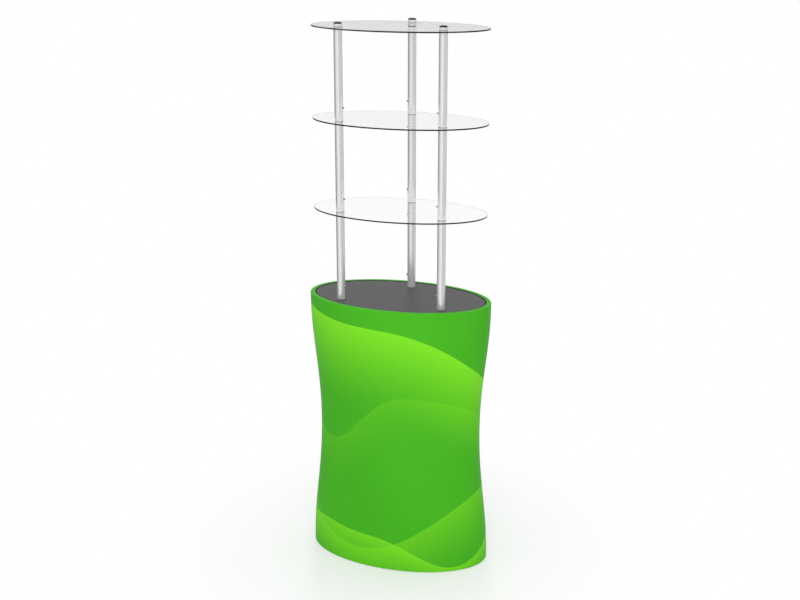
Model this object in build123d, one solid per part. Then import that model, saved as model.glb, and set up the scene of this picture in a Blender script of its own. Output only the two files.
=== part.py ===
from build123d import *
import math
import os

# Oval display tower: a waisted fabric base with a dark countertop, and three
# clear oval shelves on three tubular posts. Millimetres, +Z up. The origin is
# on the floor at the middle of the base, and the long axis runs along X.

# Base outline, measured over the fabric
base_length = 683.0
base_width = 404.0
base_height = 1005.0
waist_height = 509.0
waist_inset = 34.2
waist_roundness = 1.087
wall_sections = 13
fabric_thickness = 1.0
fabric_tuck = 15.0
rim_chamfer = 2.5

# Elliptical hoops of bent box section that the fabric is stretched over
hoop_width = 17.0
hoop_height = 16.0
hoop_wall = 2.0
hoop_chamfer = 2.0
splice_length = 80.0
splice_clearance = 0.2
splice_screw_offset = 22.0
tape_thickness = 0.9
tape_clearance = 0.1
tape_height = 10.0
tape_rise = 3.0

# Glide feet under the bottom hoop
foot_height = 1.5
foot_diameter = 14.0
foot_chamfer = 0.6
foot_stem_diameter = 5.0
foot_stem_length = 6.0
foot_angles = (25, 90, 155, 205, 270, 335)

# Cross rails of flat bar, under the top hoop and on the bottom hoop
rail_width = 30.0
rail_height = 15.0
rail_end_margin = 3.0

# Countertop board let into the rim
countertop_thickness = 16.0
countertop_gap = 2.0
countertop_chamfer = 0.5
countertop_screw_offset = 60.0
countertop_screw_bite = 12.0

# Round tube, shared by the posts of the tower and the uprights of the base
tube_diameter = 30.0
tube_wall = 1.5
fit_clearance = 0.2
hole_clearance = 0.3
thread_clearance = 0.1

# Where the three posts stand
post_half_spacing = 189.3
post_front_offset = 97.6
post_rear_offset = 130.7

# Uprights inside the base and the solid spigots that hold their ends
spigot_length = 40.0
bolt_diameter = 8.0
bolt_head_diameter = 13.0
bolt_head_height = 8.0
head_recess = 1.0
bolt_bite = 20.0
screw_diameter = 5.0
screw_head_diameter = 9.5
screw_head_height = 2.75
screw_bite = 8.0

# Tower: tube sections, shelves, couplers and end caps
tube_length = 316.0
washer_thickness = 0.8
shelf_length = 642.0
shelf_width = 375.0
shelf_thickness = 5.0
shelf_chamfer = 0.6
coupler_wall = 2.0
coupler_below = 60.0
coupler_above = 72.0
spigot_floor = 12.0
collar_height = 9.5
cap_diameter = 28.0
cap_height = 6.0
cap_bevel_height = 2.5
cap_bevel_width = 1.5
cap_plug_length = 12.0

# Spring snap buttons that lock each tube section on its coupler
button_height = 46.0
button_diameter = 8.0
button_proud = 4.8
button_bevel = 1.2
button_flange_width = 1.3
button_flange_thickness = 1.2
spring_thickness = 0.6
spring_width = 7.0
spring_reach = 30.0
spring_lip = 6.0
spring_bend = 3.0

# Levels and radii that follow from the sizes above
levels = ("lower", "middle", "upper")
sides = ("left", "right", "rear")
hoop_inset = fabric_thickness
hoop_inner_inset = hoop_inset + hoop_width
tape_inner_inset = hoop_inner_inset + tape_thickness
tuck_outer_inset = tape_inner_inset + tape_clearance
tuck_inner_inset = tuck_outer_inset + fabric_thickness
countertop_inset = tuck_inner_inset + countertop_gap
hoop_middle_inset = hoop_inset + hoop_width / 2
base_middle = (foot_height + base_height) / 2
hoop_top = base_height - fabric_thickness
wall_top = hoop_top - hoop_height
wall_bottom = foot_height + fabric_thickness + hoop_height
upright_bottom = wall_bottom + rail_height
upright_top = wall_top - rail_height
countertop_top = wall_top + countertop_thickness
level_pitch = tube_length + shelf_thickness + 2 * washer_thickness
tube_radius = tube_diameter / 2
bore_radius = tube_radius - tube_wall
coupler_radius = bore_radius - fit_clearance
coupler_bore_radius = coupler_radius - coupler_wall
post_hole_radius = coupler_radius + hole_clearance
button_hole_radius = button_diameter / 2 + hole_clearance
screw_hole_radius = screw_diameter / 2 + thread_clearance
bolt_hole_radius = bolt_diameter / 2 + thread_clearance
post_places = {
    "left": (-post_half_spacing, -post_front_offset),
    "right": (post_half_spacing, -post_front_offset),
    "rear": (0.0, post_rear_offset),
}
# Each post's buttons face inwards along X, the rear post's towards the left
button_facing = {"left": 1, "right": -1, "rear": -1}


def write(name, shape):
    """Write one sub-part, made of one or more solids, to its own file."""
    solids = shape.solids() if hasattr(shape, "solids") else [s for p in shape for s in p.solids()]
    part = Compound(children=solids) if len(solids) > 1 else solids[0]
    part.label = name
    export_step(part, os.path.join("parts", name + ".step"))


def oval(inset, bottom, top):
    """An upright oval block, its outline inset from the outside of the fabric."""
    face = Ellipse(base_length / 2 - inset, base_width / 2 - inset)
    return Pos(0, 0, bottom) * extrude(face, amount=top - bottom)


def rod(radius, x, y, bottom, top):
    """An upright round bar."""
    return Pos(x, y, bottom) * extrude(Circle(radius), amount=top - bottom)


def pipe(outer, inner, x, y, bottom, top):
    """An upright round tube."""
    return Pos(x, y, bottom) * extrude(Circle(outer) - Circle(inner), amount=top - bottom)


def hoop_point(angle):
    """The point on the middle line of a hoop at a drawing angle in degrees."""
    turn = math.radians(angle)
    x = (base_length / 2 - hoop_middle_inset) * math.cos(turn)
    return x, (base_width / 2 - hoop_middle_inset) * math.sin(turn)


def hoop_y_at(x):
    """How far out the middle line of a hoop runs at a given x."""
    share = x / (base_length / 2 - hoop_middle_inset)
    return (base_width / 2 - hoop_middle_inset) * math.sqrt(1 - share**2)


def hoop_x_at(y):
    """How far along the middle line of a hoop runs at a given y."""
    share = y / (base_width / 2 - hoop_middle_inset)
    return (base_length / 2 - hoop_middle_inset) * math.sqrt(1 - share**2)


def flip(shape):
    """The same piece at the other end of the base."""
    return mirror(shape, about=Plane.XY.offset(base_middle))


def waist_scale(height):
    """The share of the rim's size that the stretched fabric has at a height."""
    reach = wall_top - waist_height if height > waist_height else waist_height - wall_bottom
    away = abs(height - waist_height) / reach
    draw = 0.5 * (1 + math.cos(math.pi * away**waist_roundness))
    return 1 - draw * waist_inset / (base_length / 2)


def sleeve_wall(inset):
    """The waisted wall as a solid block, lofted in bands from oval to oval."""
    ovals = []
    for step in range(wall_sections):
        height = wall_bottom + (wall_top - wall_bottom) * step / (wall_sections - 1)
        scale = waist_scale(height)
        face = Ellipse(base_length / 2 * scale - inset, base_width / 2 * scale - inset)
        ovals.append(Pos(0, 0, height) * face)
    return loft(ovals, ruled=True)


def rim_wrap():
    """The fabric over the top hoop and down its inner side to the tape."""
    outside = oval(0, wall_top, base_height)
    outside = chamfer(outside.edges().group_by(Axis.Z)[-1], rim_chamfer)
    hoop_space = oval(fabric_thickness, wall_top, hoop_top)
    hoop_space = chamfer(hoop_space.edges().group_by(Axis.Z)[-1], hoop_chamfer)
    tuck = oval(tuck_outer_inset, base_height - fabric_tuck, base_height)
    opening = oval(tuck_inner_inset, wall_top, base_height)
    return outside - (hoop_space - tuck) - opening


def foot_points():
    return [hoop_point(angle) for angle in foot_angles]


def make_fabric_sleeve():
    wall = sleeve_wall(0) - sleeve_wall(fabric_thickness)
    sleeve = wall + rim_wrap() + flip(rim_wrap())
    for x, y in foot_points():
        radius = foot_stem_diameter / 2 + hole_clearance
        sleeve -= rod(radius, x, y, foot_height, foot_height + fabric_thickness)
    return sleeve


def make_hook_tape():
    """Hook tape round the inner side of the top hoop, which grips the fabric."""
    top = hoop_top - tape_rise
    ring = oval(hoop_inner_inset, top - tape_height, top)
    return ring - oval(tape_inner_inset, top - tape_height, top)


def hoop_ring():
    """The whole top hoop, a hollow box section, before it is cut in halves."""
    outside = oval(hoop_inset, wall_top, hoop_top)
    outside = chamfer(outside.edges().group_by(Axis.Z)[-1], hoop_chamfer)
    ring = outside - oval(hoop_inner_inset, wall_top, hoop_top)
    low = wall_top + hoop_wall
    high = hoop_top - hoop_wall
    cavity = oval(hoop_inset + hoop_wall, low, high)
    cavity -= oval(hoop_inner_inset - hoop_wall, low, high)
    return ring - cavity


def splice_screw_places():
    x = hoop_x_at(splice_screw_offset)
    return [(sx * x, sy * splice_screw_offset) for sx in (-1, 1) for sy in (-1, 1)]


def rail_screw_places(top):
    """Where the rails are screwed to their hoop."""
    y = hoop_y_at(post_half_spacing)
    places = [(sx * post_half_spacing, sy * y) for sx in (-1, 1) for sy in (-1, 1)]
    if top:
        y = hoop_y_at(0)
        places += [(0, -y), (0, y)]
    return places


def make_hoop(top):
    """Both halves of a hoop, drilled for its screws and, below, its feet."""
    ring = hoop_ring()
    for x, y in splice_screw_places() + rail_screw_places(top):
        ring -= rod(screw_hole_radius, x, y, wall_top, wall_top + hoop_wall)
    if not top:
        for x, y in foot_points():
            radius = foot_stem_diameter / 2 + thread_clearance
            ring -= rod(radius, x, y, hoop_top - hoop_wall, hoop_top)
        ring = flip(ring)
    rear = split(ring, bisect_by=Plane.XZ, keep=Keep.BOTTOM)
    front = split(ring, bisect_by=Plane.XZ, keep=Keep.TOP)
    return front, rear


def make_splices():
    """Curved bars inside the hoops that join the halves at each end."""
    inset = hoop_wall + splice_clearance
    low = wall_top + inset
    high = hoop_top - inset
    bar = oval(hoop_inset + inset, low, high)
    bar -= oval(hoop_inner_inset - inset, low, high)
    bar &= Pos(0, 0, base_height / 2) * Box(base_length, splice_length, base_height * 2)
    for x, y in splice_screw_places():
        bar -= rod(screw_hole_radius, x, y, low, high)
    return bar.solids() + flip(bar).solids()


def fastener(shank_diameter, head_diameter, head_height, length):
    """A screw or bolt, head down, its seat at the origin and its shank along +Z."""
    head = rod(head_diameter / 2, 0, 0, -head_height, 0)
    return head + rod(shank_diameter / 2, 0, 0, 0, length)


def frame_screw(length):
    return fastener(screw_diameter, screw_head_diameter, screw_head_height, length)


def frame_bolt(length):
    return fastener(bolt_diameter, bolt_head_diameter, bolt_head_height, length)


def make_splice_screws():
    screw = frame_screw(hoop_wall + screw_bite)
    upper = [Pos(x, y, wall_top) * screw for x, y in splice_screw_places()]
    return upper + [flip(one) for one in upper]


def make_rail_screws():
    """Long screws through the rails into the hoops."""
    screw = frame_screw(rail_height + hoop_wall + screw_bite / 2)
    upper = [Pos(x, y, upright_top) * screw for x, y in rail_screw_places(True)]
    lower = [Pos(x, y, upright_top) * screw for x, y in rail_screw_places(False)]
    return upper + [flip(one) for one in lower]


def make_feet():
    """Glides pressed through the fabric into the bottom hoop."""
    pad = extrude(Circle(foot_diameter / 2), amount=foot_height)
    pad = chamfer(pad.edges().group_by(Axis.Z)[0], foot_chamfer)
    stem_top = foot_height + foot_stem_length
    return [Pos(x, y, 0) * pad + rod(foot_stem_diameter / 2, x, y, foot_height, stem_top)
            for x, y in foot_points()]


def upright_places():
    """Uprights stand under the front posts and mirrored behind them."""
    names = {}
    for side, sx in (("left", -1), ("right", 1)):
        for row, sy in (("front", -1), ("rear", 1)):
            names["upright_" + row + "_" + side] = (sx * post_half_spacing, sy * post_front_offset)
    return names


def rail_blank(x):
    """A flat bar along Y, its ends cut to run with the hoop."""
    bar = Pos(x, 0, wall_top - rail_height / 2) * Box(rail_width, base_width, rail_height)
    return bar & oval(hoop_inset + rail_end_margin, upright_top, wall_top)


def bolt_hole(x, y, head_up):
    """A bolt's hole through a rail, counterbored for its head on one face."""
    hole = rod(bolt_hole_radius, x, y, upright_top, wall_top)
    radius = bolt_head_diameter / 2 + hole_clearance
    if head_up:
        return hole + rod(radius, x, y, wall_top - bolt_head_height - head_recess, wall_top)
    return hole + rod(radius, x, y, upright_top, upright_top + bolt_head_height + head_recess)


def make_top_rail(x):
    """Drilled for hoop and countertop screws, posts and uprights."""
    rail = rail_blank(x)
    edge = hoop_y_at(x)
    for y in (-edge, edge, -countertop_screw_offset, countertop_screw_offset):
        rail -= rod(screw_hole_radius, x, y, upright_top, wall_top)
    if x == 0:
        return rail - bolt_hole(x, post_rear_offset, False)
    rail -= rod(bolt_hole_radius, x, -post_front_offset, upright_top, wall_top)
    return rail - bolt_hole(x, post_front_offset, True)


def make_bottom_rail(x):
    """Drilled for hoop screws and the bolts of the two uprights on it."""
    rail = rail_blank(x)
    edge = hoop_y_at(x)
    for y in (-edge, edge):
        rail -= rod(screw_hole_radius, x, y, upright_top, wall_top)
    for y in (-post_front_offset, post_front_offset):
        rail -= bolt_hole(x, y, True)
    return flip(rail)


def make_upright(x, y):
    """A plain tube, held between the rails by the pull of the fabric."""
    return pipe(tube_radius, bore_radius, x, y, upright_bottom, upright_top)


def make_upright_spigots():
    """Solid plugs with a tapped hole, one in each end of each upright."""
    plugs = []
    for x, y in upright_places().values():
        for bottom in (upright_bottom, upright_top - spigot_length):
            plugs.append(pipe(coupler_radius, bolt_hole_radius, x, y, bottom, bottom + spigot_length))
    return plugs


def make_spigot_bolts():
    """Bolts whose heads are sunk in the rails."""
    seat = rail_height - bolt_head_height - head_recess
    bolt = frame_bolt(seat + bolt_bite)
    bolts = []
    for x, y in upright_places().values():
        bolts.append(Pos(x, y, upright_bottom - seat) * bolt)
        if y > 0:
            bolts.append(flip(Pos(x, y, upright_bottom - seat) * bolt))
    short = frame_bolt(seat + spigot_floor)
    bolts.append(Pos(0, post_rear_offset, wall_top - seat) * short)
    return bolts


def make_tie_studs():
    """Studs that clamp a front post and the upright below it to one rail."""
    radius = bolt_diameter / 2
    bottom = upright_top - bolt_bite
    top = wall_top + spigot_floor
    return [rod(radius, *post_places[side], bottom, top) for side in ("left", "right")]


def make_countertop():
    """A board that drops inside the rim, holed for the base spigots."""
    board = oval(countertop_inset, wall_top, countertop_top)
    board = chamfer(board.edges().group_by(Axis.Z)[-1], countertop_chamfer)
    for side in sides:
        board -= rod(post_hole_radius, *post_places[side], wall_top, countertop_top)
    for x, y in countertop_screw_places():
        board -= rod(screw_hole_radius, x, y, wall_top, wall_top + countertop_screw_bite)
    return board


def countertop_screw_places():
    return [(x, y) for x in (-post_half_spacing, 0, post_half_spacing)
            for y in (-countertop_screw_offset, countertop_screw_offset)]


def make_countertop_screws():
    screw = frame_screw(rail_height + countertop_screw_bite)
    return [Pos(x, y, upright_top) * screw for x, y in countertop_screw_places()]


def button_hole(side, z):
    """The hole that a snap button passes through, on one side of a post."""
    x, y = post_places[side]
    turn = Rot(0, 90 * button_facing[side], 0)
    return Pos(x, y, z) * turn * extrude(Circle(button_hole_radius), tube_diameter)


def make_base_spigot(side):
    """A tube with a thick tapped floor, bolted to a rail under the countertop."""
    x, y = post_places[side]
    top = countertop_top + coupler_above
    spigot = rod(coupler_radius, x, y, wall_top, top)
    spigot -= rod(coupler_bore_radius, x, y, wall_top + spigot_floor, top)
    spigot -= rod(bolt_hole_radius, x, y, wall_top, wall_top + spigot_floor)
    return spigot - button_hole(side, countertop_top + button_height)


def shelf_top(index):
    """The top face of a shelf, or of the countertop for index 0."""
    return countertop_top + index * level_pitch


def make_post_tube(side, index):
    """One tube section, from the surface it stands on to the shelf above."""
    bottom = shelf_top(index) + washer_thickness
    tube = pipe(tube_radius, bore_radius, *post_places[side], bottom, bottom + tube_length)
    return tube - button_hole(side, shelf_top(index) + button_height)


def make_couplers(index):
    """Sleeves fixed in the tubes below, standing up through one shelf."""
    couplers = []
    bottom = shelf_top(index) - shelf_thickness - washer_thickness - coupler_below
    last = index == len(levels)
    reach = washer_thickness + collar_height if last else coupler_above
    for side in sides:
        top = shelf_top(index) + reach
        coupler = pipe(coupler_radius, coupler_bore_radius, *post_places[side], bottom, top)
        if not last:
            coupler -= button_hole(side, shelf_top(index) + button_height)
        couplers.append(coupler)
    return couplers


def make_shelf(index):
    """A clear oval plate with a broken edge, drilled for the three couplers."""
    plate = extrude(Ellipse(shelf_length / 2, shelf_width / 2), amount=shelf_thickness)
    plate = chamfer(plate.edges(), shelf_chamfer)
    plate = Pos(0, 0, shelf_top(index) - shelf_thickness) * plate
    for side in sides:
        plate -= rod(post_hole_radius, *post_places[side], shelf_top(index - 1), shelf_top(index))
    return plate


def make_washers():
    """Thin rings between the tubes and every surface they meet."""
    rings = []
    for side in sides:
        x, y = post_places[side]
        for index in range(len(levels) + 1):
            above = shelf_top(index)
            rings.append(pipe(tube_radius, post_hole_radius, x, y, above, above + washer_thickness))
            if index > 0:
                below = above - shelf_thickness - washer_thickness
                rings.append(pipe(tube_radius, post_hole_radius, x, y, below, below + washer_thickness))
    return rings


def collar_bottom():
    return shelf_top(len(levels)) + washer_thickness


def make_collars():
    """Short tube stubs that hold the upper shelf down."""
    bottom = collar_bottom()
    return [pipe(tube_radius, bore_radius, *post_places[side], bottom, bottom + collar_height)
            for side in sides]


def make_end_cap(side):
    """A moulded cap, its edge bevelled, with a plug that grips the coupler."""
    cap = extrude(Circle(cap_diameter / 2), amount=cap_height)
    cap = chamfer(cap.edges().group_by(Axis.Z)[-1], cap_bevel_height, cap_bevel_width)
    plug = extrude(Circle(coupler_bore_radius - fit_clearance), amount=-cap_plug_length)
    x, y = post_places[side]
    return Pos(x, y, collar_bottom() + collar_height) * (cap + plug)


def button_back():
    """How far from the post's axis the back of a resting button is."""
    flange = button_diameter / 2 + button_flange_width
    wall = math.sqrt(coupler_bore_radius**2 - flange**2)
    return wall - hole_clearance - button_flange_thickness


def make_button(side, index):
    """A flanged button with a bevelled tip, held out by its spring."""
    back = button_back()
    radius = button_diameter / 2
    stem = extrude(Circle(radius), amount=tube_radius + button_proud - back)
    stem = chamfer(stem.edges().group_by(Axis.Z)[-1], button_bevel)
    button = stem + extrude(Circle(radius + button_flange_width), amount=button_flange_thickness)
    x, y = post_places[side]
    turn = Rot(0, 90 * button_facing[side], 0)
    return Pos(x, y, shelf_top(index) + button_height) * turn * Pos(0, 0, back) * button


def make_spring(side, index):
    """A leaf spring bent to a V, between a button's back and the far wall."""
    front = button_back() - spring_thickness / 2
    far_wall = math.sqrt(coupler_bore_radius**2 - (spring_width / 2) ** 2)
    rear = -(far_wall - fit_clearance - spring_thickness / 2)
    flange = button_diameter / 2 + button_flange_width
    path = FilletPolyline(
        (front, spring_lip), (front, -flange), (0, -spring_reach), (rear, -flange), (rear, spring_lip),
        radius=spring_bend,
    )
    leaf = trace(path, line_width=spring_thickness)
    leaf = extrude(Plane.XZ * leaf, amount=spring_width / 2, both=True)
    if button_facing[side] < 0:
        leaf = mirror(leaf, about=Plane.YZ)
    x, y = post_places[side]
    return Pos(x, y, shelf_top(index) + button_height) * leaf


# Base: fabric, hoops, rails, uprights and countertop
write("fabric_sleeve", make_fabric_sleeve())
write("hook_tape_top", make_hook_tape())
write("hook_tape_bottom", flip(make_hook_tape()))
for end, is_top in (("top", True), ("bottom", False)):
    front_half, rear_half = make_hoop(is_top)
    write(end + "_hoop_front", front_half)
    write(end + "_hoop_rear", rear_half)
write("hoop_splices", make_splices())
write("hoop_splice_screws", make_splice_screws())
for place, rail_x in (("left", -post_half_spacing), ("middle", 0), ("right", post_half_spacing)):
    write("top_rail_" + place, make_top_rail(rail_x))
    if rail_x:
        write("bottom_rail_" + place, make_bottom_rail(rail_x))
write("rail_screws", make_rail_screws())
for upright_name, (upright_x, upright_y) in upright_places().items():
    write(upright_name, make_upright(upright_x, upright_y))
write("upright_spigots", make_upright_spigots())
write("spigot_bolts", make_spigot_bolts())
write("tie_studs", make_tie_studs())
write("glide_feet", make_feet())
write("countertop", make_countertop())
write("countertop_screws", make_countertop_screws())

# Tower: spigots, posts, couplers, shelves, caps and snap buttons
for post_side in sides:
    write("base_spigot_" + post_side, make_base_spigot(post_side))
    write("end_cap_" + post_side, make_end_cap(post_side))
    for level_index, level_name in enumerate(levels):
        write("post_" + post_side + "_" + level_name, make_post_tube(post_side, level_index))
        write("snap_button_" + post_side + "_" + level_name, make_button(post_side, level_index))
for level_index, level_name in enumerate(levels):
    write(level_name + "_shelf", make_shelf(level_index + 1))
    write(level_name + "_couplers", make_couplers(level_index + 1))
write("post_washers", make_washers())
write("post_collars", make_collars())
write("button_springs", [make_spring(s, i) for s in sides for i in range(len(levels))])
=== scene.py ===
import math

import bmesh
import bpy
from mathutils import Matrix, Vector


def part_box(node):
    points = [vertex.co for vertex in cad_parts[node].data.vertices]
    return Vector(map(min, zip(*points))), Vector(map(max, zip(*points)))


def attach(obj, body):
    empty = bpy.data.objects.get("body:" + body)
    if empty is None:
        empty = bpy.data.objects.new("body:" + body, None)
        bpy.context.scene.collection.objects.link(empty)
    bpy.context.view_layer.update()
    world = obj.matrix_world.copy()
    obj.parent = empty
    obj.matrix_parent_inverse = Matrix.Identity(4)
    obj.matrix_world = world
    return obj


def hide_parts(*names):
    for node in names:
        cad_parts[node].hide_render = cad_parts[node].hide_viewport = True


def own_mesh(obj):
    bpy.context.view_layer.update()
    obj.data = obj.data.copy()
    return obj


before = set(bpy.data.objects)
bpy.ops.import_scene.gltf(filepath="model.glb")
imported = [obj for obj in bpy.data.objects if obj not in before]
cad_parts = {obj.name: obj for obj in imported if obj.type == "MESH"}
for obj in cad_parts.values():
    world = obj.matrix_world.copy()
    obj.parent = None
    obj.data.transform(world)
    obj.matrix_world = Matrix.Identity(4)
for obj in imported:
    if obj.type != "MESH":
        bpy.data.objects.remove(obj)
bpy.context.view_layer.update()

# Oval display tower: a waisted fabric base over a hoop frame, a dark countertop, and three
# clear oval shelves on tubular posts. The file follows the tower from the frame in its base
# to the caps on its posts, and then the studio it stands in.


sides = ("left", "right", "rear")
levels = ("lower", "middle", "upper")

# Frame of the base: two oval hoops of bent box section, cross rails of flat bar and four
# round uprights, with splices and spigots inside them. All of it is mill aluminium, sawn
# and drilled, held by screws, and the fabric pulls it tight.


def add(tree, kind, **settings):
    """A new node in a node tree, with its properties set."""
    node = tree.nodes.new(kind)
    for key, value in settings.items():
        setattr(node, key, value)
    return node


def feed(tree, node, **values):
    """Fill a node's sockets by name: a socket is wired in, anything else is typed in."""
    for key, value in values.items():
        socket = node.inputs[key.replace("_", " ")]
        if isinstance(value, bpy.types.NodeSocket):
            tree.links.new(value, socket)
        else:
            socket.default_value = value
    return node


def sum_of(tree, operation, *values, clamp=False):
    """One step of arithmetic on numbers and sockets, and its result."""
    node = add(tree, "ShaderNodeMath", operation=operation, use_clamp=clamp)
    for socket, value in zip(node.inputs, values):
        if isinstance(value, bpy.types.NodeSocket):
            tree.links.new(value, socket)
        else:
            socket.default_value = value
    return node.outputs[0]


def effect(name, inputs, outputs):
    """An empty node group with named inputs and outputs."""
    group = bpy.data.node_groups.new(name, "ShaderNodeTree")
    kinds = {"f": "NodeSocketFloat", "v": "NodeSocketVector", "c": "NodeSocketColor"}
    for direction, sockets in (("INPUT", inputs), ("OUTPUT", outputs)):
        for socket_name, kind in sockets.items():
            group.interface.new_socket(socket_name, in_out=direction, socket_type=kinds[kind])
    return group, add(group, "NodeGroupInput"), add(group, "NodeGroupOutput")


def use(tree, group, **values):
    """An effect placed in a material, with that material's own values."""
    node = add(tree, "ShaderNodeGroup", node_tree=group)
    return feed(tree, node, **values)


def new_material(name, **values):
    """A material with a Principled shader, its plain values set on the shader's sockets."""
    material = bpy.data.materials.new(name)
    material.use_nodes = True
    tree = material.node_tree
    shader = next(node for node in tree.nodes if node.type == "BSDF_PRINCIPLED")
    feed(tree, shader, **values)
    return material, tree, shader


def dress(material, *names):
    """Give CAD nodes their finish."""
    for name in names:
        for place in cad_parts[name].material_slots:
            place.material = material


# Grain as drawing, rolling or sanding leaves it: fine streaks over slow, cloudy patches
middle_grey = 0.5
cloud_scale = 14.0
cloud_in_roughness = 0.5
surface_grain, given, result = effect(
    "surface_grain",
    {"Colour": "c", "Grain": "v", "Contrast": "f", "Roughness": "f", "Streak": "f", "Cloud": "f"},
    {"Colour": "c", "Roughness": "f", "Height": "f"},
)
place = add(surface_grain, "ShaderNodeTexCoord")
stretch = add(surface_grain, "ShaderNodeVectorMath", operation="MULTIPLY")
surface_grain.links.new(place.outputs["Object"], stretch.inputs[0])
surface_grain.links.new(given.outputs["Grain"], stretch.inputs[1])
fine = add(surface_grain, "ShaderNodeTexNoise")
feed(surface_grain, fine, Vector=stretch.outputs[0], Scale=1.0, Detail=3.0, Roughness=0.6)
slow = add(surface_grain, "ShaderNodeTexNoise")
feed(surface_grain, slow, Vector=place.outputs["Object"], Scale=cloud_scale, Detail=2.0)
fine_off = sum_of(surface_grain, "SUBTRACT", fine.outputs[0], middle_grey)
slow_off = sum_of(surface_grain, "SUBTRACT", slow.outputs[0], middle_grey)
shade = sum_of(surface_grain, "MULTIPLY", fine_off, given.outputs["Contrast"])
cloud = sum_of(surface_grain, "MULTIPLY", slow_off, given.outputs["Cloud"])
shade = sum_of(surface_grain, "ADD", shade, cloud)
shade = sum_of(surface_grain, "ADD", shade, 1.0)
tint = add(surface_grain, "ShaderNodeVectorMath", operation="SCALE")
surface_grain.links.new(given.outputs["Colour"], tint.inputs[0])
surface_grain.links.new(shade, tint.inputs["Scale"])
rough = sum_of(surface_grain, "MULTIPLY", fine_off, given.outputs["Streak"])
rough = sum_of(surface_grain, "ADD", rough, given.outputs["Roughness"])
rough_cloud = sum_of(surface_grain, "MULTIPLY", cloud, cloud_in_roughness)
rough = sum_of(surface_grain, "ADD", rough, rough_cloud)
surface_grain.links.new(tint.outputs[0], result.inputs["Colour"])
surface_grain.links.new(rough, result.inputs["Roughness"])
surface_grain.links.new(fine.outputs[0], result.inputs["Height"])


def grained(name, relief, fixed, **grain):
    """A material whose colour, roughness and relief come from surface_grain."""
    material, tree, shader = new_material(name, **fixed)
    look = use(tree, surface_grain, **grain)
    bump = add(tree, "ShaderNodeBump")
    feed(tree, bump, Height=look.outputs["Height"], Strength=1.0, Distance=relief)
    feed(tree, shader, Base_Color=look.outputs["Colour"], Roughness=look.outputs["Roughness"],
         Normal=bump.outputs["Normal"])
    return material


mill_aluminium = grained(
    "mill_aluminium", 0.00002, {"Metallic": 1.0},
    Colour=(0.71, 0.72, 0.74, 1), Grain=(260, 260, 260), Contrast=0.16, Roughness=0.42,
    Streak=0.2, Cloud=0.14,
)
hoops = [end + "_hoop_" + half for end in ("top", "bottom") for half in ("front", "rear")]
rails = ["top_rail_left", "top_rail_middle", "top_rail_right", "bottom_rail_left", "bottom_rail_right"]
dress(mill_aluminium, "hoop_splices", "upright_spigots", *hoops, *rails)

# Uprights, couplers and the spigots under the posts are drawn tube, so their grain runs
# along the tube
drawn_aluminium = grained(
    "drawn_aluminium", 0.00001, {"Metallic": 1.0},
    Colour=(0.72, 0.73, 0.75, 1), Grain=(900, 900, 12), Contrast=0.1, Roughness=0.36,
    Streak=0.16, Cloud=0.1,
)
uprights = ["upright_" + row + "_" + side for row in ("front", "rear") for side in sides[:2]]
couplers = [level + "_couplers" for level in levels]
dress(drawn_aluminium, *uprights, *couplers, *["base_spigot_" + side for side in sides])

# Screws, bolts and studs that hold the frame and the countertop. They are turned steel with
# a bright zinc plating, slightly blue and a little uneven.
zinc_steel = grained(
    "zinc_steel", 0.00001, {"Metallic": 1.0},
    Colour=(0.6, 0.61, 0.64, 1), Grain=(700, 700, 700), Contrast=0.2, Roughness=0.33,
    Streak=0.2, Cloud=0.3,
)
fasteners = ("hoop_splice_screws", "rail_screws", "spigot_bolts", "tie_studs", "countertop_screws")
dress(zinc_steel, *fasteners)

# Hook tape glued round the inner side of each hoop. It is woven nylon, near black, with rows
# of small hooks that grip the hem of the sleeve.
hook_nylon = grained(
    "hook_nylon", 0.0004, {"Sheen_Weight": 0.3},
    Colour=(0.02, 0.02, 0.023, 1), Grain=(1400, 1400, 1400), Contrast=1.2, Roughness=0.85,
    Streak=0.2, Cloud=0.1,
)
dress(hook_nylon, "hook_tape_top", "hook_tape_bottom")

# Sleeve: one tube of stretch polyester knit, printed before it was cut, closed by a seam at
# the back and pulled over both hoops. Between them it draws in to a waist. Its hems turn
# over the hoops and hold on the hook tape behind them.
sleeve_low, sleeve_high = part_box("fabric_sleeve")
half_length = sleeve_high.x
half_width = sleeve_high.y
fabric_bottom = sleeve_low.z
fabric_top = sleeve_high.z
wall_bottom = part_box("bottom_hoop_front")[1].z
wall_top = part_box("top_hoop_front")[0].z
fabric_thickness = 0.0009
hem_inset = 0.020
hem_drop = 0.015
waist_height = 0.509
waist_inset = 0.0342
waist_roundness = 1.087
top_round = 0.004
bottom_round = 0.002
inner_round = 0.0015
round_steps = 5
wall_steps = 30
ring_segments = 240


def waist_scale(height):
    """The share of the rim's size that the pulled fabric has at a height."""
    above = height > waist_height
    reach = wall_top - waist_height if above else waist_height - wall_bottom
    away = abs(height - waist_height) / reach
    draw = 0.5 * (1 + math.cos(math.pi * away**waist_roundness))
    return 1 - draw * waist_inset / half_length


def hem_outline(outer_round):
    """(inset, height above the rim) from the wall, over the hoop, to the end of the hem."""
    outline = []
    for step in range(round_steps + 1):
        turn = math.pi / 2 * step / round_steps
        outline.append((outer_round * (1 - math.cos(turn)), outer_round * (math.sin(turn) - 1)))
    outline.append(((outer_round + hem_inset - inner_round) / 2, 0.0))
    for step in range(round_steps + 1):
        turn = math.pi / 2 * step / round_steps
        inset = hem_inset - inner_round * (1 - math.sin(turn))
        outline.append((inset, inner_round * (math.cos(turn) - 1)))
    outline.append((hem_inset, -hem_drop))
    return outline


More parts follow.
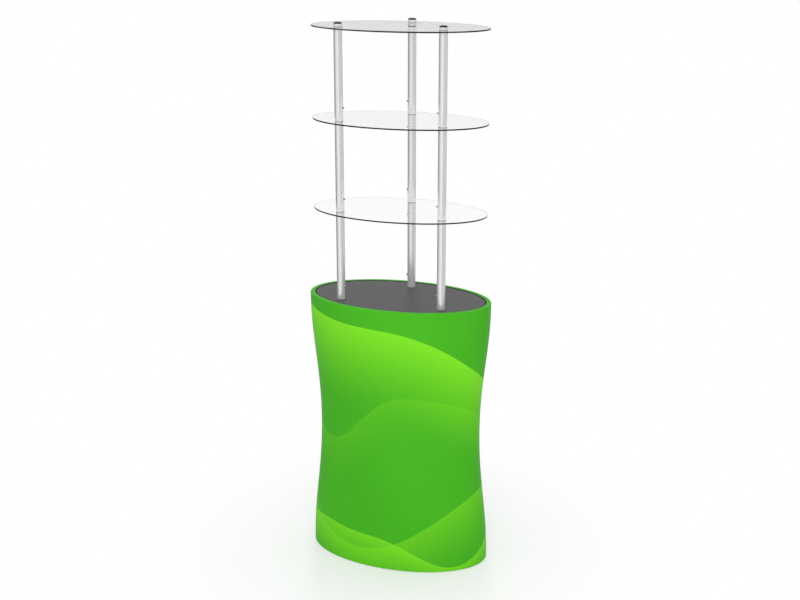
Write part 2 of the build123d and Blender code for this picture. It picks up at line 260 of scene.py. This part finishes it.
def sleeve_sections():
    """(half length, half width, height) of each oval of the sleeve, from hem to hem."""
    sections = []
    for inset, rise in reversed(hem_outline(bottom_round)):
        sections.append((half_length - inset, half_width - inset, fabric_bottom - rise))
    for step in range(wall_steps + 1):
        height = wall_bottom + (wall_top - wall_bottom) * step / wall_steps
        scale = waist_scale(height)
        sections.append((half_length * scale, half_width * scale, height))
    for inset, rise in hem_outline(top_round):
        sections.append((half_length - inset, half_width - inset, fabric_top + rise))
    return sections


def rim_arc(turn):
    """Arc length round the rim from the front, for a turn of -180 to 180 degrees, in metres."""
    steps = 240
    length = 0.0
    for step in range(steps):
        angle = turn * (step + 0.5) / steps
        length += math.hypot(half_length * math.cos(angle), half_width * math.sin(angle))
    return length * turn / steps


rim_girth = rim_arc(math.pi) * 2
sections = sleeve_sections()
sleeve_mesh = bmesh.new()
print_map = sleeve_mesh.loops.layers.uv.new("print")
turn_layer = sleeve_mesh.verts.layers.float.new("turn")
run_layer = sleeve_mesh.verts.layers.float.new("run")
ring = bmesh.ops.create_circle(sleeve_mesh, segments=ring_segments, radius=1.0)["verts"]
bmesh.ops.rotate(sleeve_mesh, verts=ring, matrix=Matrix.Rotation(math.pi / 2, 3, "Z"))
for vert in ring:
    vert[turn_layer] = math.atan2(vert.co.x, -vert.co.y)
last = (1.0, 1.0, 0.0)
run = 0.0
waist_run = 0.0
for index, section in enumerate(sections):
    if index:
        open_edges = [edge for edge in sleeve_mesh.edges if len(edge.link_faces) < 2]
        edges = [edge for edge in open_edges if rim.issuperset(edge.verts)]
        made = bmesh.ops.extrude_edge_only(sleeve_mesh, edges=edges)["geom"]
        ring = [item for item in made if isinstance(item, bmesh.types.BMVert)]
        run += math.hypot(section[1] - last[1], section[2] - last[2])
    grow = (section[0] / last[0], section[1] / last[1], 1)
    bmesh.ops.scale(sleeve_mesh, verts=ring, vec=grow)
    bmesh.ops.translate(sleeve_mesh, verts=ring, vec=(0, 0, section[2] - last[2]))
    for vert in ring:
        vert[run_layer] = run
    rim = set(ring)
    last = section
    if section[2] <= waist_height:
        waist_run = run
bmesh.ops.recalc_face_normals(sleeve_mesh, faces=sleeve_mesh.faces)
front_face = max(sleeve_mesh.faces, key=lambda face: face.calc_center_median().x)
if front_face.normal.x < 0:
    bmesh.ops.reverse_faces(sleeve_mesh, faces=sleeve_mesh.faces)

# The print's own map: metres round the rim from the front, and metres up the cloth
seam_tolerance = 0.001
arcs = {}
for face in sleeve_mesh.faces:
    middle = face.calc_center_median()
    to_right = middle.x > 0
    for loop in face.loops:
        turn = loop.vert[turn_layer]
        if abs(turn) > math.pi - seam_tolerance:
            turn = math.pi if to_right else -math.pi
        key = round(turn, 5)
        if key not in arcs:
            arcs[key] = rim_arc(turn)
        loop[print_map].uv = (arcs[key], loop.vert[run_layer] + waist_height - waist_run)


def blend_of(tree, share, first, second):
    """Two colours mixed by a share, each a socket or three numbers."""
    node = add(tree, "ShaderNodeMix", data_type="RGBA")
    for index, value in ((0, share), (6, first), (7, second)):
        if isinstance(value, bpy.types.NodeSocket):
            tree.links.new(value, node.inputs[index])
        elif index:
            node.inputs[index].default_value = (*value, 1)
        else:
            node.inputs[index].default_value = value
    return node.outputs[2]


# The print: rolling waves in greens, each with a crisp crest that fades away below it
crest_edge = 0.0012
crest_lag = 1.1
fade_curve = 1.6
print_wave, given, result = effect(
    "print_wave",
    {"Along": "f", "Up": "f", "Level": "f", "Rise": "f", "Waves": "f", "Shift": "f", "Fade": "f",
     "Lean": "f"},
    {"Wave": "f"},
)
turn = sum_of(print_wave, "MULTIPLY", given.outputs["Along"], math.tau / rim_girth)
turn = sum_of(print_wave, "MULTIPLY", turn, given.outputs["Waves"])
turn = sum_of(print_wave, "ADD", turn, given.outputs["Shift"])
swell = sum_of(print_wave, "SINE", turn)
double = sum_of(print_wave, "ADD", sum_of(print_wave, "MULTIPLY", turn, 2.0), crest_lag)
lean = sum_of(print_wave, "MULTIPLY", sum_of(print_wave, "SINE", double), given.outputs["Lean"])
crest = sum_of(print_wave, "MULTIPLY", sum_of(print_wave, "ADD", swell, lean), given.outputs["Rise"])
crest = sum_of(print_wave, "ADD", crest, given.outputs["Level"])
below = sum_of(print_wave, "SUBTRACT", crest, given.outputs["Up"])
inside = sum_of(print_wave, "DIVIDE", below, crest_edge, clamp=True)
away = sum_of(print_wave, "DIVIDE", below, given.outputs["Fade"], clamp=True)
away = sum_of(print_wave, "SUBTRACT", 1.0, away)
away = sum_of(print_wave, "POWER", away, fade_curve)
print_wave.links.new(sum_of(print_wave, "MULTIPLY", inside, away), result.inputs["Wave"])

printed_knit, tree, shader = new_material(
    "printed_knit", Sheen_Weight=0.16, Sheen_Roughness=0.3, Specular_IOR_Level=0.12,
)
uv = add(tree, "ShaderNodeUVMap", uv_map="print")
split = add(tree, "ShaderNodeSeparateXYZ")
feed(tree, split, Vector=uv.outputs[0])
along, up = split.outputs[0], split.outputs[1]
ground_start = 0.3
ground_gain = 1.6
deep_green = (0.054, 0.420, 0.013)
mid_green = (0.083, 0.53, 0.017)
lime = (0.225, 0.80, 0.020)
cloud = add(tree, "ShaderNodeTexNoise")
feed(tree, cloud, Vector=uv.outputs[0], Scale=1.7, Detail=1.0)
ground = sum_of(tree, "SUBTRACT", cloud.outputs[0], ground_start)
ground = sum_of(tree, "MULTIPLY", ground, ground_gain, clamp=True)
colour = blend_of(tree, ground, deep_green, mid_green)
waves = (
    {"Level": 0.86, "Rise": 0.15, "Waves": 1.0, "Shift": 2.6, "Fade": 0.34, "Lean": 0.35},
    {"Level": 0.60, "Rise": 0.10, "Waves": 2.0, "Shift": 0.4, "Fade": 0.20, "Lean": 0.20},
    {"Level": 0.22, "Rise": 0.10, "Waves": 1.0, "Shift": 5.2, "Fade": 0.26, "Lean": 0.45},
    {"Level": 0.10, "Rise": 0.06, "Waves": 2.0, "Shift": 2.9, "Fade": 0.16, "Lean": 0.30},
)
wave_strengths = (0.95, 0.22, 0.45, 0.7)
for values, strength in zip(waves, wave_strengths):
    wave = use(tree, print_wave, Along=along, Up=up, **values)
    share = sum_of(tree, "MULTIPLY", wave.outputs["Wave"], strength)
    colour = blend_of(tree, share, colour, lime)

# The hem is coloured near black up to where the rim turns inwards: painted shade for the dark gap
# between the rim and the countertop
hem_gap_shade = (0.010, 0.010, 0.011)
gap_shade_reach = hem_drop + inner_round * math.pi / 2
level_shift = waist_height - waist_run
past_top = sum_of(tree, "GREATER_THAN", up, run - gap_shade_reach + level_shift)
past_bottom = sum_of(tree, "LESS_THAN", up, gap_shade_reach + level_shift)
gap_shaded = sum_of(tree, "MAXIMUM", past_top, past_bottom)
# painted shade: the hem turns near black inside the rim
colour = blend_of(tree, gap_shaded, colour, hem_gap_shade)

# The knit itself: upright wales and level courses about a millimetre apart. The colour follows
# the same ripple as the relief, lighter on the loops and darker between them: painted
# highlight and painted shade.
knit_pitch = 0.0011
courses_per_wale = 1.3
wale_share = 0.6
course_share = 0.4
relief_shade_strength = 0.04
cloth_roughness = 0.62
cloth_unevenness = 0.1
knit, given, result = effect(
    "knit", {"Along": "f", "Up": "f", "Pitch": "f"}, {"Height": "f", "Shade": "f"}
)
wale = sum_of(knit, "DIVIDE", given.outputs["Along"], given.outputs["Pitch"])
wale = sum_of(knit, "SINE", sum_of(knit, "MULTIPLY", wale, math.tau))
course = sum_of(knit, "DIVIDE", given.outputs["Up"], given.outputs["Pitch"])
course = sum_of(knit, "SINE", sum_of(knit, "MULTIPLY", course, math.tau * courses_per_wale))
wale = sum_of(knit, "MULTIPLY", wale, wale_share)
course = sum_of(knit, "MULTIPLY", course, course_share)
loops = sum_of(knit, "ADD", wale, course)
# painted highlight and shade: the colour rises and falls with the knit's relief
painted_relief_shade = sum_of(knit, "ADD", sum_of(knit, "MULTIPLY", loops, relief_shade_strength), 1.0)
knit.links.new(loops, result.inputs["Height"])
knit.links.new(painted_relief_shade, result.inputs["Shade"])
stitch = use(tree, knit, Along=along, Up=up, Pitch=knit_pitch)
shaded = add(tree, "ShaderNodeVectorMath", operation="SCALE")
tree.links.new(colour, shaded.inputs[0])
tree.links.new(stitch.outputs["Shade"], shaded.inputs["Scale"])
bump = add(tree, "ShaderNodeBump")
feed(tree, bump, Height=stitch.outputs["Height"], Strength=0.5, Distance=0.00012)
soft = sum_of(tree, "MULTIPLY", cloud.outputs[0], cloth_unevenness)
soft = sum_of(tree, "ADD", soft, cloth_roughness)
feed(tree, shader, Base_Color=shaded.outputs[0], Roughness=soft, Normal=bump.outputs["Normal"])


def finish_piece(name, mesh, material, body, crease=35):
    """The finished mesh as a piece in its place, riding on a body of the frame."""
    data = bpy.data.meshes.new(name)
    mesh.to_mesh(data)
    mesh.free()
    data.materials.append(material)
    data.shade_smooth()
    data.set_sharp_from_angle(angle=math.radians(crease))
    piece = bpy.data.objects.new(name, data)
    bpy.context.scene.collection.objects.link(piece)
    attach(piece, body)
    return piece


sleeve = finish_piece("printed_sleeve", sleeve_mesh, printed_knit, "tower")
shell = sleeve.modifiers.new("cloth", "SOLIDIFY")
shell.thickness = fabric_thickness
shell.offset = -1.0
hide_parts("fabric_sleeve")

# Seam that closes the sleeve at the back, from rim to rim: two rows of short stitches in
# green polyester thread, which stand a little proud of the knit.
green_thread = grained(
    "green_thread", 0.00005, {"Sheen_Weight": 0.2},
    Colour=(0.060, 0.42, 0.020, 1), Grain=(3000, 3000, 600), Contrast=0.5, Roughness=0.6,
    Streak=0.2, Cloud=0.1,
)
stitch_pitch = 0.0042
stitch_length = 0.0031
thread_radius = 0.00035
row_spacing = 0.006
seam_margin = 0.006
seam_mesh = bmesh.new()
seam_span = fabric_top - fabric_bottom - 2 * seam_margin
stitch_count = round(seam_span / stitch_pitch)
for row in (-0.5, 0.5):
    for index in range(stitch_count):
        height = fabric_bottom + seam_margin + seam_span * (index + 0.5) / stitch_count
        held_height = min(max(height, wall_bottom), wall_top)
        out = half_width * waist_scale(held_height)
        out_above = half_width * waist_scale(min(held_height + stitch_pitch, wall_top))
        lean = math.atan2(out - out_above, stitch_pitch)
        thread = bmesh.ops.create_icosphere(seam_mesh, subdivisions=1, radius=1.0)["verts"]
        size = (thread_radius, thread_radius, stitch_length / 2)
        bmesh.ops.scale(seam_mesh, verts=thread, vec=size)
        bmesh.ops.rotate(seam_mesh, verts=thread, matrix=Matrix.Rotation(lean, 3, "X"))
        bmesh.ops.translate(seam_mesh, verts=thread, vec=(row * row_spacing, out, height))
seam = finish_piece("rear_seam", seam_mesh, green_thread, "tower", crease=80)

# Glide feet pressed through the fabric into the bottom hoop. They are moulded nylon, black,
# with a fine matt texture.
black_plastic = grained(
    "black_plastic", 0.00003, {"Specular_IOR_Level": 0.4},
    Colour=(0.012, 0.012, 0.013, 1), Grain=(1800, 1800, 1800), Contrast=0.5, Roughness=0.5,
    Streak=0.25, Cloud=0.2,
)
dress(black_plastic, "glide_feet")

# Countertop: a board faced with dark grey laminate, dropped inside the rim onto the top
# rails and screwed from below. The laminate has a fine pebble grain and a low gloss.
dark_laminate = grained(
    "dark_laminate", 0.00006, {"Specular_IOR_Level": 0.12},
    Colour=(0.077, 0.077, 0.079, 1), Grain=(600, 600, 600), Contrast=0.45, Roughness=0.42,
    Streak=0.3, Cloud=0.1,
)
dress(dark_laminate, "countertop")

# Posts: nine lengths of round tube and three short collars above the upper shelf. They are
# drawn aluminium, satin anodised, with faint lines along the tube.
satin_aluminium = grained(
    "satin_aluminium", 0.00002, {"Metallic": 0.6},
    Colour=(0.80, 0.80, 0.81, 1), Grain=(900, 900, 120), Contrast=0.30, Roughness=0.22,
    Streak=0.22, Cloud=0.10,
)
tubes = ["post_" + side + "_" + level for side in sides for level in levels]
dress(satin_aluminium, "post_collars", *tubes)

# Rings between the tubes and every surface they meet, cut from grey rubber sheet. They keep
# the tubes from marking the shelves and show as a thin line at each joint.
grey_rubber = grained(
    "grey_rubber", 0.00002, {"Specular_IOR_Level": 0.3},
    Colour=(0.17, 0.17, 0.175, 1), Grain=(1500, 1500, 1500), Contrast=0.4, Roughness=0.78,
    Streak=0.2, Cloud=0.2,
)
dress(grey_rubber, "post_washers")

# Leaf springs inside the couplers, one behind each snap button: blued spring steel strip
# bent to a V, brushed along the strip.
blued_steel = grained(
    "blued_steel", 0.00001, {"Metallic": 1.0},
    Colour=(0.16, 0.18, 0.25, 1), Grain=(900, 900, 60), Contrast=0.3, Roughness=0.3,
    Streak=0.2, Cloud=0.4,
)
spring_radius = 0.0113
spring_thickness = 0.0006
spring_width = 0.007
spring_reach = 0.030
spring_lip = 0.006
spring_elbow = 0.0053
spring_bend = 0.004
bend_steps = 4
wall_gap = 0.0002


def leaf_spring(front, rear):
    """A strip bent to a V between two upright lips, from x at the front to x at the rear."""
    mesh = bmesh.new()
    half = spring_width / 2
    path = [(front, spring_lip), (front, -spring_elbow), ((front + rear) / 2, -spring_reach),
            (rear, -spring_elbow), (rear, spring_lip)]
    points = [mesh.verts.new((x, -half, z)) for x, z in path]
    for pair in zip(points, points[1:]):
        mesh.edges.new(pair)
    bmesh.ops.bevel(mesh, geom=points[1:-1], offset=spring_bend, segments=bend_steps, profile=0.5,
                    affect="VERTICES", material=-1)
    made = bmesh.ops.extrude_edge_only(mesh, edges=mesh.edges[:])["geom"]
    far_side = [item for item in made if isinstance(item, bmesh.types.BMVert)]
    bmesh.ops.translate(mesh, verts=far_side, vec=(0, spring_width, 0))
    bmesh.ops.recalc_face_normals(mesh, faces=mesh.faces)
    bmesh.ops.solidify(mesh, geom=mesh.faces[:], thickness=spring_thickness)
    bmesh.ops.recalc_face_normals(mesh, faces=mesh.faces)
    return mesh


for side in sides:
    for level in levels:
        low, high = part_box("snap_button_" + side + "_" + level)
        tube_low, tube_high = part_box("post_" + side + "_" + level)
        centre = (tube_low + tube_high) / 2
        inwards = 1 if side == "left" else -1
        back = (low.x if inwards > 0 else high.x) - centre.x
        far_wall = math.sqrt(spring_radius**2 - (spring_width / 2) ** 2) - wall_gap
        front = back - inwards * spring_thickness
        rear = -inwards * (far_wall - spring_thickness)
        spring_mesh = leaf_spring(front, rear)
        shift = (centre.x, centre.y, (low.z + high.z) / 2)
        bmesh.ops.translate(spring_mesh, verts=spring_mesh.verts, vec=shift)
        name = "leaf_spring_" + side + "_" + level
        spring = finish_piece(name, spring_mesh, blued_steel, "tower", crease=40)
        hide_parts("button_springs")
        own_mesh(spring)

# Snap buttons: turned steel with a domed tip and a flange behind, nickel plated and slightly
# blue. Each slides on its own body, through its coupler and its tube.
plated_steel = grained(
    "plated_steel", 0.00001, {"Metallic": 1.0},
    Colour=(0.36, 0.39, 0.47, 1), Grain=(900, 900, 900), Contrast=0.15, Roughness=0.3,
    Streak=0.15, Cloud=0.2,
)
button_radius = 0.004
flange_thickness = 0.0012
tip_round = 0.0024
tip_turn = 78
tip_steps = 6
button_segments = 32


def arc(middle, radius, reach, steps):
    """Points (radius, height) of a turned profile, up an arc from level to a reach in degrees."""
    points = []
    for step in range(steps + 1):
        turn = math.radians(reach * step / steps)
        points.append((middle[0] + radius * math.cos(turn), middle[1] + radius * math.sin(turn)))
    return points


def turned(profile, segments):
    """A closed mesh turned round Z from a profile that starts and ends on the axis."""
    mesh = bmesh.new()
    points = [mesh.verts.new((radius, 0, height)) for radius, height in profile]
    edges = [mesh.edges.new(pair) for pair in zip(points, points[1:])]
    bmesh.ops.spin(mesh, geom=points + edges, axis=(0, 0, 1), cent=(0, 0, 0), angle=math.tau,
                   steps=segments, use_merge=True)
    bmesh.ops.remove_doubles(mesh, verts=mesh.verts, dist=0.000001)
    bmesh.ops.recalc_face_normals(mesh, faces=mesh.faces)
    return mesh


for side in sides:
    for level in levels:
        node = "snap_button_" + side + "_" + level
        low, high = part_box(node)
        length = high.x - low.x
        flange = (high.z - low.z) / 2
        profile = [(0, 0), (flange, 0), (flange, flange_thickness), (button_radius, flange_thickness)]
        tip_middle = (button_radius - tip_round, length - tip_round)
        profile += arc(tip_middle, tip_round, tip_turn, tip_steps)
        profile += [(0, length)]
        button_mesh = turned(profile, button_segments)
        faces_right = side == "left"
        quarter = math.pi / 2 if faces_right else -math.pi / 2
        middle = (low + high) / 2
        bmesh.ops.rotate(button_mesh, verts=button_mesh.verts, matrix=Matrix.Rotation(quarter, 3, "Y"))
        back = low.x if faces_right else high.x
        bmesh.ops.translate(button_mesh, verts=button_mesh.verts, vec=(back, middle.y, middle.z))
        button = finish_piece("domed_button_" + side + "_" + level, button_mesh, plated_steel, node,
                              crease=30)
        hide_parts(node)

# Shelves: oval plates of clear cast acrylic, drilled for the couplers, with polished edges.
# The edge faces are tinted near black, a painted shade for how the edges look dark from the
# side. Lamps shine through them.
face_tint = (0.94, 0.945, 0.943)
painted_edge_shade = (0.10, 0.105, 0.105)
shadow_tint = (0.94, 0.95, 0.95, 1)
level_limit = 0.9
clear_acrylic, tree, shader = new_material(
    "clear_acrylic", Transmission_Weight=1.0, IOR=1.49, Roughness=0.0,
)
facing = add(tree, "ShaderNodeNewGeometry")
split = add(tree, "ShaderNodeSeparateXYZ")
feed(tree, split, Vector=facing.outputs["True Normal"])
level_face = sum_of(tree, "GREATER_THAN", sum_of(tree, "ABSOLUTE", split.outputs[2]), level_limit)
# Faces that are not level take the near-black painted edge shade; level faces take the pale tint
feed(tree, shader, Base_Color=blend_of(tree, level_face, painted_edge_shade, face_tint))
path = add(tree, "ShaderNodeLightPath")
lets_by = sum_of(tree, "MAXIMUM", path.outputs["Is Shadow Ray"], path.outputs["Is Diffuse Ray"])
see_through = add(tree, "ShaderNodeBsdfTransparent")
feed(tree, see_through, Color=shadow_tint)
either = add(tree, "ShaderNodeMixShader")
tree.links.new(lets_by, either.inputs[0])
tree.links.new(shader.outputs[0], either.inputs[1])
tree.links.new(see_through.outputs[0], either.inputs[2])
surface = next(node for node in tree.nodes if node.type == "OUTPUT_MATERIAL")
tree.links.new(either.outputs[0], surface.inputs["Surface"])
dress(clear_acrylic, *[level + "_shelf" for level in levels])

# End caps: moulded black plastic, pushed into the couplers on top of the collars. Each has a
# shallow dome over a rounded shoulder, and a plug with a tapered end.
plug_radius = 0.0111
plug_taper = 0.0008
shoulder_round = 0.0028
shoulder_turn = 75
shoulder_steps = 5
dome_rise = 0.0012
dome_steps = 5
cap_segments = 48
cap_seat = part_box("post_collars")[1].z
for side in sides:
    low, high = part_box("end_cap_" + side)
    middle = (low + high) / 2
    cap_radius = (high.x - low.x) / 2
    shoulder = high.z - dome_rise - shoulder_round
    profile = [(0, low.z), (plug_radius - plug_taper, low.z), (plug_radius, low.z + 2 * plug_taper)]
    profile += [(plug_radius, cap_seat), (cap_radius, cap_seat)]
    shoulder_middle = (cap_radius - shoulder_round, shoulder)
    profile += arc(shoulder_middle, shoulder_round, shoulder_turn, shoulder_steps)
    inner, dome_start = profile[-1]
    dome_drop = high.z - dome_start
    for step in range(1, dome_steps + 1):
        share = step / dome_steps
        profile.append((inner * (1 - share), high.z - dome_drop * (1 - share) ** 2))
    cap_mesh = turned(profile, cap_segments)
    bmesh.ops.translate(cap_mesh, verts=cap_mesh.verts, vec=(middle.x, middle.y, 0))
    cap = finish_piece("domed_cap_" + side, cap_mesh, black_plastic, "tower", crease=40)
    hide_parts("end_cap_" + side)

# Studio: a pale paper floor that keeps the shadow and fades to white, a white background,
# a soft lamp above and behind and a larger one in front, and a camera at the photograph's
# place.
floor_reach = 9.0
paper_grey = (0.62, 0.62, 0.62, 1)
paper_glow = 0.34
fade_start = 0.25
fade_length = 0.8
floor_mesh = bmesh.new()
bmesh.ops.create_grid(floor_mesh, x_segments=1, y_segments=1, size=floor_reach)
floor_data = bpy.data.meshes.new("floor")
floor_mesh.to_mesh(floor_data)
floor_mesh.free()
floor = bpy.data.objects.new("floor", floor_data)
bpy.context.scene.collection.objects.link(floor)
floor_paper = bpy.data.materials.new("floor_paper")
floor_paper.use_nodes = True
tree = floor_paper.node_tree
tree.nodes.clear()
path = add(tree, "ShaderNodeLightPath")
seen = sum_of(tree, "MAXIMUM", path.outputs["Is Camera Ray"], path.outputs["Is Transmission Ray"])
place = add(tree, "ShaderNodeTexCoord")
reach = add(tree, "ShaderNodeVectorMath", operation="LENGTH")
tree.links.new(place.outputs["Object"], reach.inputs[0])
fade = sum_of(tree, "SUBTRACT", reach.outputs["Value"], fade_start)
fade = sum_of(tree, "DIVIDE", fade, fade_length, clamp=True)
matt = add(tree, "ShaderNodeBsdfDiffuse")
feed(tree, matt, Color=paper_grey)
glow = add(tree, "ShaderNodeEmission")
feed(tree, glow, Color=(1, 1, 1, 1), Strength=sum_of(tree, "MULTIPLY", seen, paper_glow))
both = add(tree, "ShaderNodeAddShader")
tree.links.new(matt.outputs[0], both.inputs[0])
tree.links.new(glow.outputs[0], both.inputs[1])
white = add(tree, "ShaderNodeEmission")
faded = add(tree, "ShaderNodeMixShader")
tree.links.new(sum_of(tree, "MULTIPLY", seen, fade), faded.inputs[0])
tree.links.new(both.outputs[0], faded.inputs[1])
tree.links.new(white.outputs[0], faded.inputs[2])
clear = add(tree, "ShaderNodeBsdfTransparent")
either = add(tree, "ShaderNodeMixShader")
tree.links.new(path.outputs["Is Glossy Ray"], either.inputs[0])
tree.links.new(faded.outputs[0], either.inputs[1])
tree.links.new(clear.outputs[0], either.inputs[2])
surface = add(tree, "ShaderNodeOutputMaterial")
tree.links.new(either.outputs[0], surface.inputs["Surface"])
floor_data.materials.append(floor_paper)

# Round the walls stand bright screens and grey ones, which the tubes mirror: each stop is a
# share of the way round the tower, and a brightness. The level shelves mirror a band just
# above the horizon, where each stop is how far a line of sight a metre long rises.
screen_stops = (
    (0.00, 0.05), (0.11, 0.06), (0.20, 0.11), (0.26, 0.27), (0.31, 0.60), (0.36, 0.90),
    (0.42, 1.00), (0.50, 0.96), (0.555, 0.56), (0.61, 0.43), (0.68, 0.56), (0.76, 0.62),
    (0.86, 0.56), (1.00, 0.30),
)
horizon_stops = ((0.00, 0.52), (0.087, 0.63), (0.156, 0.85), (0.225, 1.00), (0.36, 1.00))
horizon_drop = 0.06
horizon_sharpness = 16.0
screens_bearing = -70.3
ambient = 0.74
world = bpy.data.worlds.new("studio")
bpy.context.scene.world = world
world.use_nodes = True
tree = world.node_tree
tree.nodes.clear()


def brightness_ramp(tree, share, stops):
    """A grey that follows a share from 0 to 1 through its stops."""
    ramp = add(tree, "ShaderNodeValToRGB")
    points = ramp.color_ramp.elements
    while len(points) < len(stops):
        points.new(0.5)
    for point, (where, grey) in zip(points, stops):
        point.position = where
        point.color = (grey, grey, grey, 1)
    tree.links.new(share, ramp.inputs[0])
    return ramp.outputs[0]


direction = add(tree, "ShaderNodeTexCoord")
split = add(tree, "ShaderNodeSeparateXYZ")
feed(tree, split, Vector=direction.outputs["Generated"])
bearing = sum_of(tree, "ARCTAN2", split.outputs[1], split.outputs[0])
bearing = sum_of(tree, "SUBTRACT", bearing, math.radians(screens_bearing))
bearing = sum_of(tree, "FRACT", sum_of(tree, "ADD", sum_of(tree, "DIVIDE", bearing, math.tau), 0.5))
screens = brightness_ramp(tree, bearing, screen_stops)
horizon = brightness_ramp(tree, split.outputs[2], horizon_stops)
rising = sum_of(tree, "ADD", split.outputs[2], horizon_drop)
rising = sum_of(tree, "MULTIPLY", rising, horizon_sharpness, clamp=True)
mirrored = blend_of(tree, rising, screens, horizon)
path = add(tree, "ShaderNodeLightPath")
seen = sum_of(tree, "MAXIMUM", path.outputs["Is Camera Ray"], path.outputs["Is Transmission Ray"])
lit = blend_of(tree, path.outputs["Is Glossy Ray"], (ambient,) * 3, mirrored)
shown = blend_of(tree, seen, lit, (1, 1, 1))
sky = add(tree, "ShaderNodeBackground")
feed(tree, sky, Color=shown, Strength=1.0)
surface = add(tree, "ShaderNodeOutputWorld")
tree.links.new(sky.outputs[0], surface.inputs["Surface"])


def softbox(name, place, aim, width, power):
    """A square soft lamp at a place, turned towards a point."""
    lamp_data = bpy.data.lights.new(name, "AREA")
    lamp_data.size = width
    lamp_data.energy = power
    lamp = bpy.data.objects.new(name, lamp_data)
    lamp.location = place
    lamp.rotation_euler = (Vector(aim) - Vector(place)).to_track_quat("-Z", "Y").to_euler()
    lamp.visible_glossy = False
    lamp.visible_transmission = False
    bpy.context.scene.collection.objects.link(lamp)


softbox("key", place=(-1.2, 3.4, 4.0), aim=(0, 0, 0.8), width=1.0, power=45)
softbox("front", place=(1.5, -4.4, 2.6), aim=(0, 0, 0.6), width=2.6, power=100)

camera_data = bpy.data.cameras.new("camera")
camera_data.lens = 59.31
camera = bpy.data.objects.new("camera", camera_data)
camera.location = (1.5468, -4.3228, 2.4016)
camera.rotation_euler = (math.radians(72.8985), 0, math.radians(19.6735))
bpy.context.scene.collection.objects.link(camera)
bpy.context.scene.camera = camera
bpy.context.scene.view_settings.view_transform = "Standard"
